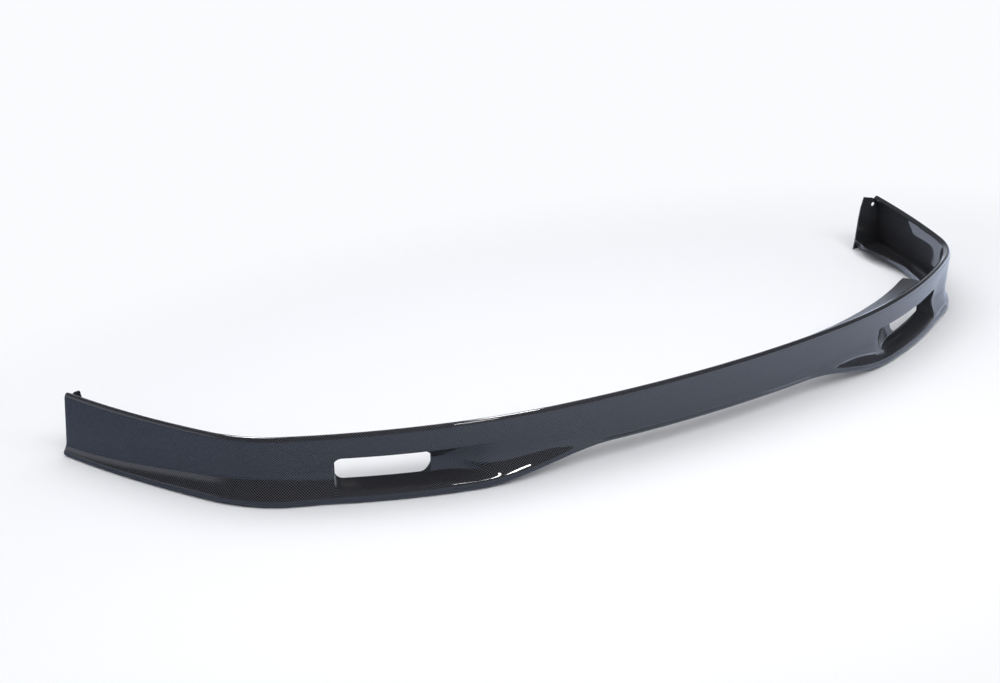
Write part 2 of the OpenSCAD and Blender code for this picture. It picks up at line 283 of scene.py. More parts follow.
def follow(s):
    """Plan place and heading of the ridge at a distance s from the middle."""
    x = y = heading = 0.0
    left = s
    for i, (run, radius) in enumerate(ARCS):
        step = left if i == len(ARCS) - 1 else min(left, run)
        turned = heading + step / radius
        x += radius * (math.sin(turned) - math.sin(heading))
        y += radius * (math.cos(heading) - math.cos(turned))
        heading = turned
        left -= step
        if left <= 0:
            break
    return x, y, heading


MID_Y = (follow(HALF_LENGTH)[1] - BEVEL_OUT) / 2


def along(s, front, duct, corner, end, full=NOSE_FULL):
    """A size that changes along the lip, from its values at the four sections."""
    return (front + (duct - front) * ease(s, NOSE_START, full)
            + (corner - duct) * ease(s, DUCT_END, CORNER_AT)
            + (end - corner) * ease(s, CORNER_AT, HALF_LENGTH))


def top_z(s):
    """Height of the ridge."""
    return mix(FRONT_HEIGHT, END_HEIGHT, ease(s, NOSE_FULL, HALF_LENGTH))


def front_face(z):
    """The straight face at the middle of the front."""
    slope = (BEVEL_OUT - FRONT_FOOT_OUT) / (FRONT_HEIGHT - BEVEL_DROP - FRONT_LIFT)
    return BEVEL_OUT - (FRONT_HEIGHT - BEVEL_DROP - z) * slope


FRONT_NOSE_Z = FRONT_LIFT + FRONT_STEP
FRONT_WAIST_Z = FRONT_NOSE_Z + FRONT_STEP


def waist(s):
    """Where the face begins to flare."""
    out = along(s, front_face(FRONT_WAIST_Z), *WAIST_OUT, FLARE_FULL)
    return out, along(s, FRONT_WAIST_Z, *WAIST_Z)


def nose(s):
    """Where the flare turns into the round nose."""
    out = along(s, front_face(FRONT_NOSE_Z), *NOSE_OUT, FLARE_FULL)
    return out, along(s, FRONT_NOSE_Z, *NOSE_Z)


def foot(s):
    """Where the nose meets the flat underside."""
    return along(s, FRONT_FOOT_OUT, *FOOT_OUT), along(s, FRONT_LIFT, 0, 0, 0)


def face(s, z):
    """How far out the face lies at height z: straight to the waist, then flaring to the nose."""
    top = top_z(s) - BEVEL_DROP
    waist_out, waist_z = waist(s)
    nose_out, nose_z = nose(s)
    if z >= waist_z:
        return mix(waist_out, BEVEL_OUT, (z - waist_z) / (top - waist_z))
    return waist_out + (nose_out - waist_out) * ((waist_z - z) / (waist_z - nose_z)) ** FLARE_POWER


def scoop_depth(s):
    """How far the duct's back wall is set in from the face."""
    return 0.0 if s > DUCT_END else DUCT_DEPTH * ease(s, SCOOP_START, SCOOP_FULL)


def roof_round(s):
    """Rounding between the duct's roof and its back wall: widest where the window starts."""
    widening = ease(s, SCOOP_START + SCOOP_LEAD, WINDOW_START)
    return (mix(INNER_ROUND, ROOF_ROUND, widening)
            + (INNER_ROUND - ROOF_ROUND) * ease(s, WINDOW_START, WINDOW_START + OPENING_ROUND))


def corner_cut(s):
    """How far the duct's edges draw together at its rounded outer end."""
    u = min(DUCT_CORNER, max(0.0, s - DUCT_END + DUCT_CORNER))
    return DUCT_CORNER - math.sqrt(DUCT_CORNER ** 2 - u * u)


def duct_roof(s):
    """Height of the duct's upper edge."""
    return DUCT_TOP - corner_cut(s)


def duct_floor(s):
    """Height of the floor where it meets the back wall."""
    growth = ease(s, SCOOP_START - SCOOP_LEAD, SCOOP_START + SCOOP_GROWTH)
    return nose(s)[1] + corner_cut(s) + mix(FLOOR_START, DUCT_BOTTOM - NOSE_Z[0], growth)


def duct_sill(s):
    """Height of the outer edge of the sloping floor."""
    growth = ease(s, SCOOP_START + SILL_DELAY, DUCT_START)
    return nose(s)[1] + corner_cut(s) + mix(SILL_START, SILL_RISE, growth)


def circle(cx, cz, radius, count):
    """Points of a circle, each as how far out and how high it lies."""
    angles = [2 * math.pi * i / count for i in range(count)]
    return [(cx + radius * math.cos(a), cz + radius * math.sin(a)) for a in angles]


def quarter_turn(count):
    """Even angles from 0 to 90 degrees, in radians."""
    return [math.radians(90 * i / (count - 1)) for i in range(count)]


def bend(a, b, c, count):
    """Points of a bend from a to c that is drawn towards b."""
    shares = [i / (count - 1) for i in range(count)]
    return [tuple(p * (1 - t) ** 2 + q * 2 * t * (1 - t) + r * t * t for p, q, r in zip(a, b, c))
            for t in shares]


def curve(a, b, c, d, count):
    """Points of a curve from a to d that leaves towards b and arrives from c."""
    shares = [i / (count - 1) for i in range(count)]
    return [tuple(p * (1 - t) ** 3 + q * 3 * t * (1 - t) ** 2 + r * 3 * t * t * (1 - t) + w * t ** 3
                  for p, q, r, w in zip(a, b, c, d)) for t in shares]


def towards(a, b, distance):
    """Point at a distance from a on the way to b."""
    length = math.hypot(b[0] - a[0], b[1] - a[1])
    return (a[0] + (b[0] - a[0]) * distance / length, a[1] + (b[1] - a[1]) * distance / length)


def trim(s, size):
    """Small wander of an edge that was trimmed by hand."""
    return size * sum(share * math.sin(s * turn + start) for share, turn, start in WANDER)


def slanted_end(s):
    """How far in the slanted end of the tongue lies."""
    return mix(RIM_WIDTH, FLANGE_WIDTH, (s - FLANGE_ROOT) / (FLANGE_END - FLANGE_ROOT))


def flange_inset(s):
    """Insets of the flange's rows: the tongue's from its inner edge outwards, then the rim's."""
    inner = FLANGE_WIDTH + trim(s, FLANGE_WANDER)
    rim = RIM_WIDTH + trim(s, FLANGE_WANDER)
    rows = [SCREW_INSET + HOLE_PATCH, SCREW_INSET, SCREW_INSET - HOLE_PATCH]
    if s < FLANGE_ROOT:
        tongue = rim + mix(RIM_GAP, SLANT_GAP, ease(s, FLANGE_ROOT - RIM_GAP_RUN, FLANGE_ROOT))
    else:
        tongue = slanted_end(min(s, FLANGE_END - SLANT_LEFT)) + SLANT_GAP
        settled = ease(s, FLANGE_ROOT, FLANGE_ROOT + SETTLE_RUN)
        rows = [mix(row, mix(inner, tongue, t), settled) for row, t in zip(rows, (0.25, 0.5, 0.75))]
    return [inner] + rows + [tongue, rim, mix(rim, RIDGE_ROUND, 0.5)]


def top_points(s):
    """Flange edge, ridge and bevel."""
    z = top_z(s)
    tip = (0.0, z + TIP_RISE)
    heel = (BEVEL_OUT, z - BEVEL_DROP)
    line = [(-inset, tip[1] - inset * math.tan(FLANGE_SLOPE)) for inset in flange_inset(s)]
    near = towards(tip, line[0], RIDGE_ROUND)
    line += bend(near, tip, towards(tip, heel, RIDGE_ROUND), RIDGE_POINTS)
    end = (face(s, heel[1] - BEVEL_ROUND), heel[1] - BEVEL_ROUND)
    return line + bend(towards(heel, tip, BEVEL_ROUND), heel, end, BEVEL_POINTS)


def window(s):
    """Top and bottom of the opening through the back wall of the duct."""
    high = duct_roof(s) - roof_round(s) - WINDOW_GAP
    low = duct_floor(s) + FLOOR_ROUND + WINDOW_GAP
    from_start = max(0.0, s - WINDOW_START)
    near = ease(s, SCOOP_START, WINDOW_START)
    u = OPENING_ROUND - min(OPENING_ROUND, from_start)
    low += near * (OPENING_ROUND - math.sqrt(OPENING_ROUND ** 2 - u * u))
    u = OPENING_CORNER - min(OPENING_CORNER, from_start)
    high -= near * (OPENING_CORNER - math.sqrt(OPENING_CORNER ** 2 - u * u))
    return high, low


def rounded_corner(corner, before, after, reach, count):
    """Points of the bend at a corner; reach tells how far from it the bend starts and ends."""
    start = towards(corner, before, min(reach, 0.45 * math.dist(corner, before)))
    end = towards(corner, after, min(reach, 0.9 * math.dist(corner, after)))
    return bend(start, corner, end, count)


def duct_rows(s, depth):
    """The face from above the duct to below its sill, set back by the duct's depth."""
    roof, floor, sill = duct_roof(s), duct_floor(s), duct_sill(s)
    deep = max(depth, LEAST_DEPTH)
    above = (face(s, roof + EDGE_ROUND), roof + EDGE_ROUND)
    front_edge = (face(s, roof), roof)
    back_edge = (face(s, roof) - deep, roof)
    foot_edge = (face(s, floor) - deep, floor)
    sill_edge = (face(s, sill), sill)
    under = mix(nose(s)[1], sill, SILL_FOOT)
    below = (face(s, under), under)
    # Over the roof's edge, along the roof and down into the back wall
    upper = rounded_corner(front_edge, above, back_edge, EDGE_ROUND, ROOF_BENDS[0])
    bent = rounded_corner(back_edge, front_edge, foot_edge, roof_round(s), ROOF_BENDS[1])
    upper += [part_way(upper[-1], bent[0], t) for t in ROOF_SHARES] + bent
    # Out of the back wall, down the sloping floor and over the sill
    lower = rounded_corner(foot_edge, back_edge, sill_edge, FLOOR_ROUND, FLOOR_BENDS[0])
    bent = rounded_corner(sill_edge, foot_edge, below, SILL_ROUND, FLOOR_BENDS[1])
    lower += [part_way(lower[-1], bent[0], t) for t in FLOOR_SHARES] + bent
    # Where the duct is shallow, its rows lie between the plain face and these lines
    shape = min(1.0, depth / (FULL_SHAPE_DEPTH if s < WINDOW_START else OUTER_ROUND))
    back = mix(0.0, deep, shape)
    high, low = window(s)
    roof_heights = spread(above[1], high, len(upper))
    wall_heights = spread(high, low, WINDOW_ROWS) + [low]
    floor_heights = spread(low, under, len(lower))[1:] + [under]
    return ([part_way((face(s, z), z), point, shape) for z, point in zip(roof_heights, upper)]
            + [(face(s, z) - back, z) for z in wall_heights]
            + [part_way((face(s, z), z), point, shape) for z, point in zip(floor_heights, lower)])


def face_points(s, depth):
    """The face from the ridge's bevel to the top of the nose."""
    high, low = top_z(s) - BEVEL_DROP - BEVEL_ROUND, nose(s)[1]
    upper = spread(high, duct_roof(s) + EDGE_ROUND, FACE_POINTS + 1)[1:]
    lower = spread(mix(low, duct_sill(s), SILL_FOOT), low, 3)[1:]
    return ([(face(s, z), z) for z in upper] + duct_rows(s, depth)
            + [(face(s, z), z) for z in lower])


def underside_in(s):
    """How far in the flat underside reaches."""
    return mix(FLOOR_IN, END_FLOOR_IN, ease(s, HALF_LENGTH - 1.5 * END_RUN, HALF_LENGTH))


def raised_edge_in(s):
    """How far in the raised edge lies."""
    return (mix(LIP_IN, WING_LIP_IN, ease(s, LIP_WIDENS, LIP_WIDEST))
            + (END_LIP_IN - WING_LIP_IN) * ease(s, HALF_LENGTH - END_RUN, HALF_LENGTH))


def low_points(s):
    """Round nose, flat underside and its raised edge."""
    top, base = nose(s), foot(s)
    slope = face(s, top[1] + 0.1) - face(s, top[1] + 1.1)
    reach = (top[1] - base[1]) * NOSE_FULLNESS
    lead = towards(top, (top[0] + slope, top[1] - 1), reach * NOSE_LEAD)
    back = (-underside_in(s), base[1])
    start = (back[0] + LIP_BEND, base[1])
    edge = (-raised_edge_in(s) - trim(s, LIP_WANDER), base[1] + LIP_HEIGHT)
    knee = part_way(back, edge, LIP_KNEE)
    line = curve(top, lead, (base[0] + reach, base[1]), base, 13)
    line += [part_way(base, start, 0.5)] + bend(start, back, knee, 7)
    return line + [part_way(knee, edge, t) for t in (0.33, 0.67, 1.0)]


def right_corner(s, points):
    """The section with the right corner's own flare; points at the left stay as they are."""
    weight = ease(s, DUCT_END, CORNER_AT) * (1 - ease(s, CORNER_AT, HALF_LENGTH))
    waist_z, nose_z = waist(s)[1], nose(s)[1]
    moved = []
    for out, z in points:
        change = mix(-RIGHT_NOSE_LESS, RIGHT_WAIST_FULLER, ease(z, nose_z, waist_z))
        change *= 1 - ease(z, waist_z, top_z(s) - BEVEL_DROP)
        moved.append((out + weight * change, z))
    return moved


def section(s, depth):
    """Points of the section at a distance s from the middle, which is negative at the left; each is
    given as how far out from the ridge and how high it lies."""
    points = top_points(abs(s)) + face_points(abs(s), depth) + low_points(abs(s))
    return right_corner(s, points)


def places_along(*runs):
    """Even places along runs, each given by its start, its end and its longest step."""
    return [s for start, end, step in runs
            for s in spread(start, end, max(1, math.ceil((end - start) / step)))]


def half_stations():
    """Places along the ridge, with the duct's depth and the inset of the end's rounding at each."""
    inner, outer = SCREWS_AT
    places = places_along(
        (0, inner - HOLE_PATCH, 9), (inner - HOLE_PATCH, inner + HOLE_PATCH, HOLE_PATCH),
        (inner + HOLE_PATCH, SCOOP_START, 7), (SCOOP_START, outer - HOLE_PATCH, 3),
        (outer - HOLE_PATCH, outer + HOLE_PATCH, HOLE_PATCH), (outer + HOLE_PATCH, WINDOW_START, 4))
    places += [WINDOW_START + OPENING_ROUND * (1 - math.cos(a)) for a in quarter_turn(9)[:-1]]
    places += places_along(
        (WINDOW_START + OPENING_ROUND, FLANGE_ROOT, 5), (FLANGE_ROOT, DUCT_END - DUCT_CORNER, 5),
        (DUCT_END - DUCT_CORNER, WINDOW_END, 2.5))
    stations = [(s, scoop_depth(s), 0.0) for s in places]
    flat_depth = DUCT_DEPTH - INNER_ROUND
    stations += [(WINDOW_END + INNER_ROUND * math.sin(a),
                  flat_depth + INNER_ROUND * math.cos(a), 0.0) for a in quarter_turn(5)]
    stations += [(DUCT_END + WALL_STEP * t, mix(flat_depth, OUTER_ROUND, t), 0.0)
                 for t in (0.33, 0.67)]
    edge = DUCT_END + WALL_STEP + OUTER_ROUND
    stations += [(edge - OUTER_ROUND * math.cos(a), OUTER_ROUND * (1 - math.sin(a)), 0.0)
                 for a in quarter_turn(6)]
    places = places_along(
        (edge + 1, FLANGE_END, 5), (FLANGE_END, CORNER_START, 7), (CORNER_START, WING_START, 4),
        (WING_START, HALF_LENGTH - END_ROUND, 7))
    stations += [(s, 0.0, 0.0) for s in places]
    return stations + [(HALF_LENGTH - END_ROUND * (1 - math.sin(a)), 0.0,
                        END_ROUND * (1 - math.cos(a))) for a in quarter_turn(5)]


def set_in(points, inset):
    """The outline moved to its inner side."""
    if inset == 0:
        return points
    moved = []
    for i, p in enumerate(points):
        before, after = points[max(i - 1, 0)], points[min(i + 1, len(points) - 1)]
        size = math.hypot(after[0] - before[0], after[1] - before[1])
        moved.append((p[0] + inset * (after[1] - before[1]) / size,
                      p[1] - inset * (after[0] - before[0]) / size))
    return moved


def is_open(s, row):
    """Whether the sheet has an opening at a place: a duct's window or the end of the flange."""
    s = abs(s)
    if WINDOW_START < s < WINDOW_END and WINDOW_TOP_ROW <= row < WINDOW_FOOT_ROW:
        return True
    if row == TONGUE_ROW and s > FLANGE_ROOT:
        return True
    if row < TONGUE_ROW and s > FLANGE_END:
        return True
    return any(abs(s - hole) < HOLE_PATCH for hole in SCREWS_AT) and abs(row + 0.5 - SCREW_ROW) < 1


def lengths(points, start, way):
    """Distance along the section from a row, counted up or down."""
    total, found = 0.0, {start: 0.0}
    i = start
    while 0 <= i + way < len(points):
        total += math.dist(points[i], points[i + way])
        i += way
        found[i] = total * way
    return found


def cloth_heights(s, points):
    """Place of each row on the cloth, for the rows above the duct's floor and for the others."""
    high = {**lengths(points, RIDGE_ROW, -1), **lengths(points, RIDGE_ROW, 1)}
    low = {**lengths(points, DUCT_FOOT_ROW, -1), **lengths(points, DUCT_FOOT_ROW, 1)}
    edge = lengths(section(s, 0.0), RIDGE_ROW, 1)[DUCT_FOOT_ROW]
    return high, {row: edge + value for row, value in low.items()}


def fill_strip(bm, places, rows, heights):
    """Faces between two neighbouring rows of points, apart from the openings."""
    uv = bm.loops.layers.uv["weave"]
    left, right = places
    for i in range(len(rows[0]) - 1):
        if is_open((left + right) / 2, i):
            continue
        quad = bm.faces.new((rows[0][i], rows[0][i + 1], rows[1][i + 1], rows[1][i]))
        part = 0 if i < WINDOW_FOOT_ROW else 1
        cloth = ((left, heights[0][part][i]), (left, heights[0][part][i + 1]),
                 (right, heights[1][part][i + 1]), (right, heights[1][part][i]))
        for loop, (s, height) in zip(quad.loops, cloth):
            loop[uv].uv = (s * MM, height * MM)


def round_hole(bm, corners, centre, uv_centre):
    """Fills a square of the flange round a screw hole; the eight corners run once round it."""
    uv = bm.loops.layers.uv["weave"]
    raw = bm.verts.layers.float["unpolished"]
    across = (corners[4].co - corners[0].co).normalized()
    up = (corners[6].co - corners[2].co).normalized()
    up = across.cross(up).cross(across).normalized()
    step = 2 * math.pi / HOLE_SIDES
    ring = []
    for k in range(HOLE_SIDES):
        a = step * k - math.pi
        spoke = across * math.cos(a) + up * math.sin(a)
        ring.append(bm.verts.new(centre + spoke * SCREW_RADIUS * MM))
        ring[k][raw] = 1.0
    near = []
    for corner in corners:
        away = corner.co - centre
        angle = math.atan2(away.dot(up), away.dot(across))
        near.append(round((angle + math.pi) / step) % HOLE_SIDES)
    for i, corner in enumerate(corners):
        j = (i + 1) % len(corners)
        count, way = (near[j] - near[i]) % HOLE_SIDES, 1
        if count > HOLE_SIDES / 2:
            count, way = HOLE_SIDES - count, -1
        inner = [ring[(near[i] + way * k) % HOLE_SIDES] for k in range(count + 1)]
        made = bm.faces.new([corner] + inner + [corners[j]])
        made.normal_update()
        if made.normal.z < 0:
            made.normal_flip()
        for loop in made.loops:
            away = loop.vert.co - centre
            loop[uv].uv = (uv_centre[0] + away.x, uv_centre[1] - away.dot(up))


def shell_sheet():
    """The outer face of the shell with the lip laid out straight, as rows of points."""
    half = half_stations()
    stations = [(-s, depth, inset) for s, depth, inset in reversed(half[1:])] + half
    places = [s for s, depth, inset in stations]
    bm = bmesh.new()
    bm.loops.layers.uv.new("weave")
    raw = bm.verts.layers.float.new("unpolished")
    rows, heights = [], []
    for s, depth, inset in stations:
        points = set_in(section(s, depth), inset)
        rows.append([bm.verts.new((s * MM, -out * MM, z * MM)) for out, z in points])
        for vert in rows[-1][:TONGUE_ROW + 1]:
            vert[raw] = 1.0
        heights.append(cloth_heights(s, points))
    for k in range(len(stations) - 1):
        fill_strip(bm, places[k:k + 2], rows[k:k + 2], heights[k:k + 2])
    for hole in [side * s for side in (-1, 1) for s in SCREWS_AT]:
        k = min(range(len(places)), key=lambda n: abs(places[n] - hole))
        corners = [rows[k + a][SCREW_ROW + b] for a, b in ROUND_A_POINT]
        uv_centre = (hole * MM, heights[k][0][SCREW_ROW] * MM)
        round_hole(bm, corners, rows[k][SCREW_ROW].co.copy(), uv_centre)
    bmesh.ops.delete(bm, geom=[v for v in bm.verts if not v.link_faces], context="VERTS")
    mesh = bpy.data.meshes.new("shell")
    bm.to_mesh(mesh)
    bm.free()
    return mesh


def new_object(name, data):
    """Object with this data, put into the scene."""
    made = bpy.data.objects.new(name, data)
    bpy.context.scene.collection.objects.link(made)
    return made


def end_panel(bm, side):
    """Plate that closes a wing end, with its mounting hole."""
    uv = bm.loops.layers.uv["weave"]
    skin = set_in(section(HALF_LENGTH, 0.0), END_ROUND)
    flat_end = max(i for i, point in enumerate(skin) if point[0] > PANEL_FOOT_IN - END_FLOOR_IN)
    outline = skin[TONGUE_ROW + 1:flat_end + 1] + list(PANEL_EDGES[side])
    hole = circle(-PANEL_HOLE_INSET, PANEL_HOLE_Z, PANEL_HOLE_RADIUS, HOLE_SIDES)
    plates, faces = [], []
    for depth, facing in ((HALF_LENGTH, side), (HALF_LENGTH - WALL, -side)):
        rims = [[bm.verts.new((side * depth * MM, -out * MM, z * MM)) for out, z in line]
                for line in (outline, hole)]
        edges = [bm.edges.new((rim[i - 1], rim[i])) for rim in rims for i in range(len(rim))]
        made = bmesh.ops.triangle_fill(bm, use_beauty=True, edges=edges)
        for plate in [part for part in made["geom"] if isinstance(part, bmesh.types.BMFace)]:
            plate.normal_update()
            if plate.normal.x * facing < 0:
                plate.normal_flip()
            faces.append(plate)
        plates.append(rims)
    for near, far, way in zip(*plates, (side, -side)):
        for i in range(len(near)):
            ring = (near[i - 1], near[i], far[i], far[i - 1])
            faces.append(bm.faces.new(ring[::way]))
    for plate in faces:
        for loop in plate.loops:
            loop[uv].uv = (loop.vert.co.x + loop.vert.co.y, loop.vert.co.z)


def apply_modifiers(made):
    """Takes an object's modifiers into its mesh."""
    evaluated = made.evaluated_get(bpy.context.evaluated_depsgraph_get())
    mesh = bpy.data.meshes.new_from_object(evaluated)
    made.modifiers.clear()
    made.data = mesh


def ridge_line():
    """The ridge as a line through space, from one wing end to the other."""
    data = bpy.data.curves.new("ridge_line", "CURVE")
    data.dimensions = "3D"
    spline = data.splines.new("POLY")
    spline.points.add(2 * RIDGE_STEPS)
    for i in range(2 * RIDGE_STEPS + 1):
        s = HALF_LENGTH * (i - RIDGE_STEPS) / RIDGE_STEPS
        x, y, heading = follow(abs(s))
        spline.points[i].co = (math.copysign(x, s) * MM, (y - MID_Y) * MM, 0, 1)
    return new_object("ridge_line", data)


def feed(tree, node, feeds):
    """Gives inputs of a node their values, as sockets or plain values."""
    for key, value in feeds.items():
        if isinstance(value, bpy.types.NodeSocket):
            tree.links.new(value, node.inputs[key])
        else:
            node.inputs[key].default_value = value


def add_node(tree, kind, feeds=None, **settings):
    """New node with its settings and the values of its inputs."""
    node = tree.nodes.new(kind)
    for name, value in settings.items():
        setattr(node, name, value)
    feed(tree, node, feeds or {})
    return node


def calculate(tree, operation, *values):
    """Sum, product or the like of sockets or plain numbers."""
    node = add_node(tree, "ShaderNodeMath", dict(enumerate(values)), operation=operation)
    return node.outputs[0]


def ramp(tree, value, start, end, kind="SMOOTHSTEP"):
    """Growth from 0 to 1 while a value runs from start to end."""
    feeds = {"Value": value, "From Min": start, "From Max": end}
    node = add_node(tree, "ShaderNodeMapRange", feeds, interpolation_type=kind)
    return node.outputs["Result"]


def blend(tree, factor, first, second):
    """Colour between two others."""
    feeds = {"Factor": factor, "A": first, "B": second}
    node = add_node(tree, "ShaderNodeMix", feeds, data_type="RGBA")
    return node.outputs["Result"]


def wrapped_place(tree, given):
    """Where each point of a straight lip lies after the wrap round the ridge line, which also
    squares the ends to the car."""
    place = add_node(tree, "GeometryNodeInputPosition").outputs[0]
    run, inset, height = add_node(tree, "ShaderNodeSeparateXYZ", {0: place}).outputs
    line = add_node(tree, "GeometryNodeObjectInfo", {"Object": given["Ridge line"]},
                    transform_space="ORIGINAL").outputs["Geometry"]
    length = calculate(tree, "ADD", run, given["Half length"])
    sample = add_node(tree, "GeometryNodeSampleCurve", {"Curves": line, "Length": length},
                      mode="LENGTH").outputs
    tangent = add_node(tree, "ShaderNodeSeparateXYZ", {0: sample["Tangent"]}).outputs
    inward = add_node(tree, "ShaderNodeCombineXYZ", {
        "X": calculate(tree, "MULTIPLY", tangent["Y"], -1.0), "Y": tangent["X"]}).outputs[0]
    upward = add_node(tree, "ShaderNodeCombineXYZ", {"Z": height}).outputs[0]
    squaring_start = calculate(tree, "SUBTRACT", given["Half length"], given["Squaring run"])
    squared = ramp(tree, calculate(tree, "ABSOLUTE", run), squaring_start, given["Half length"])
    lean = calculate(tree, "DIVIDE", tangent["X"], tangent["Y"])
    slide = calculate(tree, "MULTIPLY", calculate(tree, "MULTIPLY", lean, squared),
                      calculate(tree, "MULTIPLY", inset, -1.0))
    steps = [add_node(tree, "ShaderNodeVectorMath", {"Vector": way, "Scale": size},
                      operation="SCALE").outputs["Vector"]
             for way, size in ((inward, inset), (sample["Tangent"], slide))]
    spot = sample["Position"]
    for step in steps + [upward]:
        added = add_node(tree, "ShaderNodeVectorMath", {0: spot, 1: step}, operation="ADD")
        spot = added.outputs["Vector"]
    return spot


def wrap_tree():
    """Geometry nodes that wrap a straight lip round its ridge line and give it its material."""
    tree = bpy.data.node_groups.new("wrap_round_ridge", "GeometryNodeTree")
    for name, kind in (("Geometry", "Geometry"), ("Ridge line", "Object"), ("Half length", "Float"),
                       ("Squaring run", "Float"), ("Material", "Material")):
        tree.interface.new_socket(name, in_out="INPUT", socket_type="NodeSocket" + kind)
    tree.interface.new_socket("Geometry", in_out="OUTPUT", socket_type="NodeSocketGeometry")
    given = add_node(tree, "NodeGroupInput").outputs
    moved = add_node(tree, "GeometryNodeSetPosition", {
        "Geometry": given["Geometry"], "Position": wrapped_place(tree, given)}).outputs[0]
    real = add_node(tree, "GeometryNodeRealizeInstances", {0: moved}).outputs[0]
    painted = add_node(tree, "GeometryNodeSetMaterial", {
        "Geometry": real, "Material": given["Material"]}).outputs[0]
    add_node(tree, "NodeGroupOutput", {0: painted})
    return tree


def add_wrap(made, line, material):
    """Modifier that wraps the straight lip round its ridge line."""
    wrap = made.modifiers.new("wrap", "NODES")
    wrap.node_group = wrap_tree()
    given = {"Ridge line": line, "Half length": HALF_LENGTH * MM, "Squaring run": SQUARING_RUN * MM,
             "Material": material}
    for item in wrap.node_group.interface.items_tree:
        if item.in_out == "INPUT" and item.name in given:
            wrap[item.identifier] = given[item.name]


def carbon_shell(material):
    """The whole lip: a sheet with a wall and end panels, wrapped round the ridge."""
    made = new_object("carbon_lip", shell_sheet())
    thick = made.modifiers.new("wall", "SOLIDIFY")
    thick.thickness = WALL * MM
    thick.offset = -1
    thick.use_even_offset = False
    apply_modifiers(made)
    bm = bmesh.new()
    bm.from_mesh(made.data)
    for side in (-1, 1):
        end_panel(bm, side)
    bm.to_mesh(made.data)
    bm.free()
    line = ridge_line()
    add_wrap(made, line, material)
    apply_modifiers(made)
    bpy.data.objects.remove(line)
    made.data.shade_smooth()
    made.data.set_sharp_from_angle(angle=SHARP_ANGLE)
    return made


def plain_weave():
    """Node group of a plain weave: which way the tow on top runs, and its height."""
    tree = bpy.data.node_groups.new("plain_weave", "ShaderNodeTree")
    for name, way, kind in (("Cloth", "INPUT", "Vector"), ("Tow width", "INPUT", "Float"),
                            ("Upright", "OUTPUT", "Float"), ("Height", "OUTPUT", "Float")):
        tree.interface.new_socket(name, in_out=way, socket_type="NodeSocket" + kind)
    given = add_node(tree, "NodeGroupInput").outputs
    place = add_node(tree, "ShaderNodeSeparateXYZ", {0: given["Cloth"]}).outputs
    u, v = [calculate(tree, "DIVIDE", place[name], given["Tow width"]) for name in ("X", "Y")]
    cells = calculate(tree, "ADD", calculate(tree, "FLOOR", u), calculate(tree, "FLOOR", v))
    upright = calculate(tree, "GREATER_THAN", calculate(tree, "PINGPONG", cells, 1.0), 0.5)
    flat = calculate(tree, "SUBTRACT", 1.0, upright)
    u, v = calculate(tree, "FRACT", u), calculate(tree, "FRACT", v)
    halves = []
    for first, second in ((u, v), (v, u)):
        part = calculate(tree, "ADD", calculate(tree, "MULTIPLY", first, upright),
                         calculate(tree, "MULTIPLY", second, flat))
        wave = calculate(tree, "SINE", calculate(tree, "MULTIPLY", part, math.pi))
        halves.append(calculate(tree, "MULTIPLY", wave, 0.5))
    height = calculate(tree, "ADD", *halves)
    add_node(tree, "NodeGroupOutput", {"Upright": upright, "Height": height})
    return tree


def carbon_material():
    """Plain-weave carbon cloth under a clear, polished lacquer; the upright tows are painted
    paler, as sheen.
    """
    material = bpy.data.materials.new("lacquered_carbon")
    material.use_nodes = True
    tree = material.node_tree
    cloth = add_node(tree, "ShaderNodeUVMap", uv_map="weave").outputs[0]
    weave = add_node(tree, "ShaderNodeGroup", {"Cloth": cloth, "Tow width": TOW_WIDTH * MM},
                     node_tree=plain_weave()).outputs
    bump = add_node(tree, "ShaderNodeBump", {"Height": weave["Height"], "Distance": TOW_HEIGHT * MM,
                                             "Strength": BUMP_STRENGTH})
    tangent = add_node(tree, "ShaderNodeTangent", direction_type="UV_MAP", uv_map="weave")
    raw = add_node(tree, "ShaderNodeAttribute", attribute_name="unpolished").outputs["Fac"]
    feed(tree, tree.nodes["Principled BSDF"], {
        # The upright tows get the paler shade: painted sheen
        "Base Color": blend(tree, weave["Upright"], DARK_TOW, SHEEN_PAINTED_TOW),
        "Normal": bump.outputs[0],
        "Tangent": tangent.outputs[0],
        "Anisotropic": TOW_GRAIN,
        "Anisotropic Rotation": calculate(tree, "MULTIPLY", weave["Upright"], QUARTER_TURN),
        "Roughness": TOW_ROUGHNESS,
        "Specular IOR Level": TOW_SHINE,
        "Coat Weight": calculate(tree, "MULTIPLY_ADD", raw, RAW_GLOSS - 1.0, 1.0),
        "Coat Roughness": calculate(tree, "MULTIPLY_ADD", raw, RAW_ROUGHNESS, LACQUER_ROUGHNESS),
        "Coat IOR": LACQUER_IOR})
    return material


